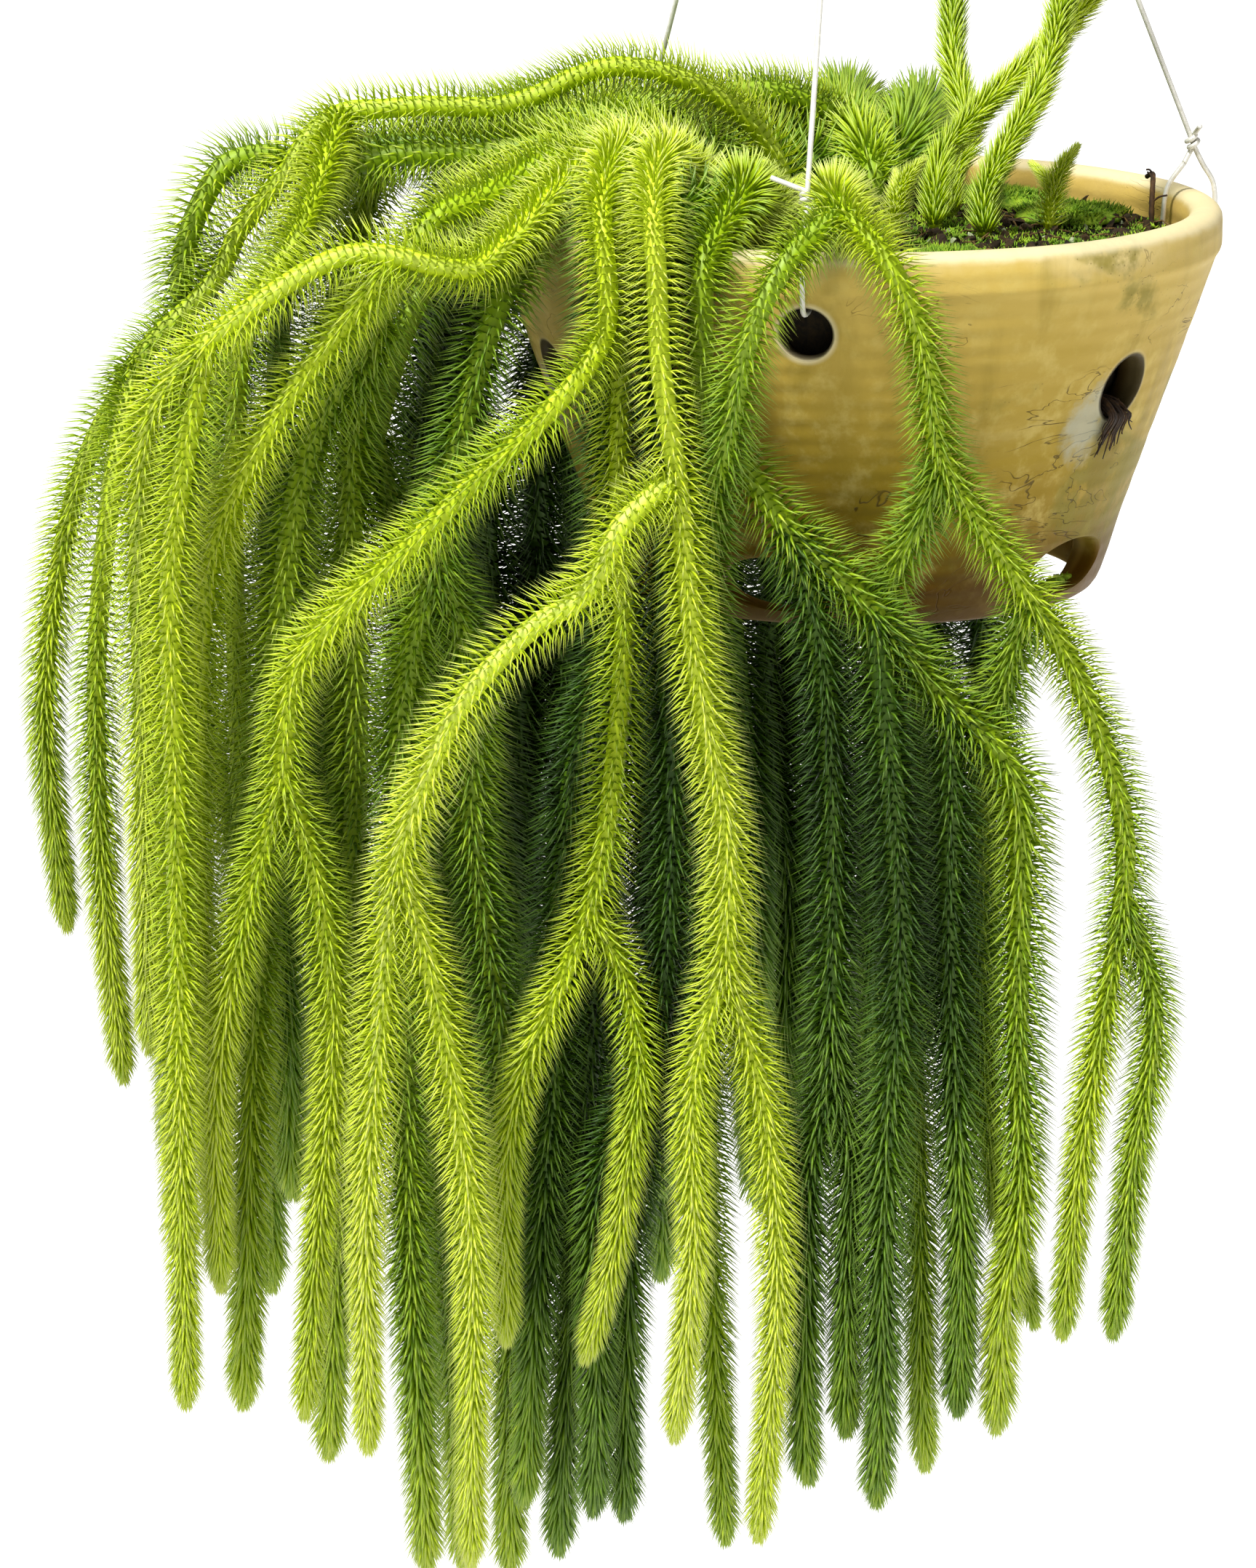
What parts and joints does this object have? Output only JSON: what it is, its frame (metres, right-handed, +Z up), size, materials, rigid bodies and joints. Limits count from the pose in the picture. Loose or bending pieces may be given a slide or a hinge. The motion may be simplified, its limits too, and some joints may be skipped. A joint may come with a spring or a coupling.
{
  "type": "potted clubmoss",
  "caption": "Trailing tassel-fern clubmoss in a pierced terracotta orchid pot that hangs on wires from an S-hook; forked needle-leaved shoots cascade over the rim.",
  "frame": {"origin": "the point inside the top of the S-hook's upper bend where it rests on whatever it hangs from", "axes": "+Z up along the hanging line; -Y towards the camera's side, where most shoots hang; +X to the right of that view, the bare side of the pot"},
  "size_m": [0.3587, 0.304, 0.7246],
  "materials": {
    "terracotta": "satin",
    "bark_mix": "matte",
    "moss": "matte",
    "shoots": "satin",
    "roots": "matte",
    "steel_wire": "satin"
  },
  "bodies": {
    "root": {"pot": "terracotta", "soil": "bark_mix", "hook": "steel_wire", "wire_front": "steel_wire", "wire_right": "steel_wire", "wire_back": "steel_wire", "root_tuft": "roots", "twig": "roots", "moss_left": "moss", "moss_middle": "moss", "moss_right": "moss", "moss_front": "moss", "sprout_left": "shoots", "sprout_middle": "shoots", "sprout_right": "shoots", "shoot_front": "shoots", "shoot_left_front": "shoots", "shoot_centre": "shoots", "shoot_right_arch": "shoots", "shoot_diagonal": "shoots", "shoot_horizontal": "shoots", "shoot_second_row": "shoots", "shoot_ridge": "shoots", "shoot_back_ridge": "shoots", "shoot_back_arch": "shoots", "shoot_left_mid": "shoots", "shoot_left_side": "shoots", "shoot_under_left": "shoots", "shoot_under_middle": "shoots", "shoot_back_1": "shoots", "shoot_back_2": "shoots", "shoot_back_3": "shoots", "shoot_back_4": "shoots", "shoot_back_5": "shoots", "shoot_back_6": "shoots", "shoot_back_7": "shoots", "shoot_back_8": "shoots", "shoot_back_9": "shoots", "upright_leaning": "shoots", "upright_right": "shoots", "upright_straight": "shoots"}
  },
  "joints": []
}
